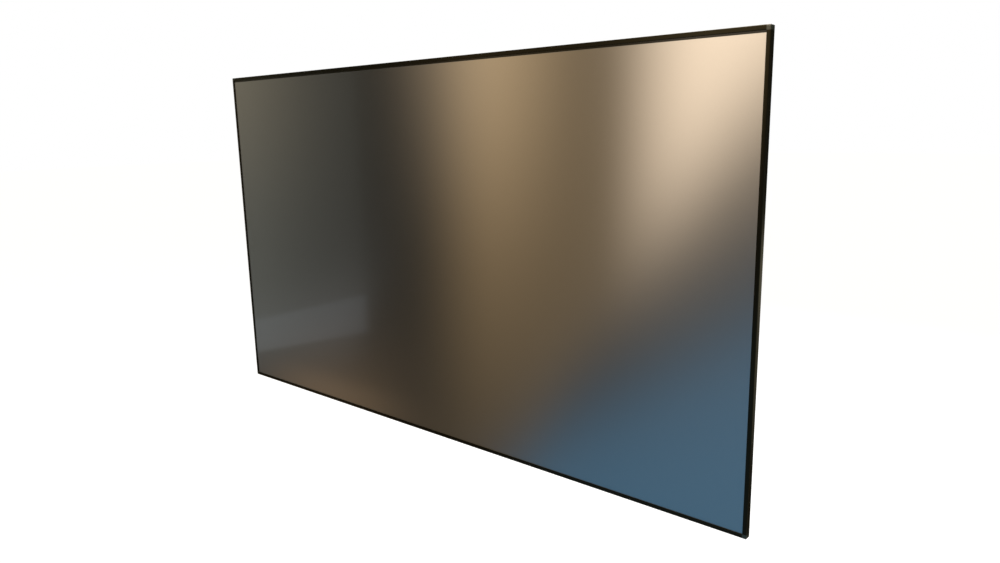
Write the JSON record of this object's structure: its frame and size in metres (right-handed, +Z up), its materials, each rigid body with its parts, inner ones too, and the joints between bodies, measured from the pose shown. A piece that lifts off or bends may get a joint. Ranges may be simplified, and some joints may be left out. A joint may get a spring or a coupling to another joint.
{
  "type": "fixed frame projector screen",
  "caption": "Wall-hung 16:9 projection screen: a dark silver sheet drawn tight over an aluminium frame by rods and springs, with a thin black bezel.",
  "frame": {"origin": "the middle of the whole screen: its width, its height, and its depth from the front of the bezel to the wall", "axes": "+X to the right seen from the front, +Y from the front into the wall, +Z up"},
  "size_m": [2.238, 0.03, 1.269],
  "materials": {
    "optical_sheet": "dark silver, fine pearly grain, semi-gloss",
    "trim_black": "black anodised, satin gloss",
    "corner_plastic": "satin moulded black",
    "rail_black": "black anodised, matt, with die lines",
    "cast_alloy": "plain die-cast",
    "zinc_steel": "zinc plated",
    "spring_steel": "bright zinc-plated wire",
    "bracket_black": "matt black powder coat"
  },
  "bodies": {
    "root": {"screen_sheet": "optical_sheet", "trim_top": "trim_black", "trim_bottom": "trim_black", "trim_left": "trim_black", "trim_right": "trim_black", "trim_corner_top_left": "corner_plastic", "trim_corner_top_right": "corner_plastic", "trim_corner_bottom_left": "corner_plastic", "trim_corner_bottom_right": "corner_plastic", "rail_top_left": "rail_black", "rail_top_right": "rail_black", "rail_bottom_left": "rail_black", "rail_bottom_right": "rail_black", "rail_left": "rail_black", "rail_right": "rail_black", "corner_elbow_top_left": "cast_alloy", "corner_elbow_top_right": "cast_alloy", "corner_elbow_bottom_left": "cast_alloy", "corner_elbow_bottom_right": "cast_alloy", "corner_plate_top_left": "zinc_steel", "corner_plate_top_right": "zinc_steel", "corner_plate_bottom_left": "zinc_steel", "corner_plate_bottom_right": "zinc_steel", "splice_bar_top": "cast_alloy", "splice_bar_bottom": "cast_alloy", "splice_plate_top": "zinc_steel", "splice_plate_bottom": "zinc_steel", "tension_rod_top": "spring_steel", "tension_rod_bottom": "spring_steel", "tension_rod_left": "spring_steel", "tension_rod_right": "spring_steel", "upright_bar": "rail_black", "bar_shoe_top": "zinc_steel", "bar_shoe_bottom": "zinc_steel", "wall_bracket_top_left": "bracket_black", "wall_bracket_top_right": "bracket_black", "wall_bracket_bottom_left": "bracket_black", "wall_bracket_bottom_right": "bracket_black"}
  },
  "joints": []
}
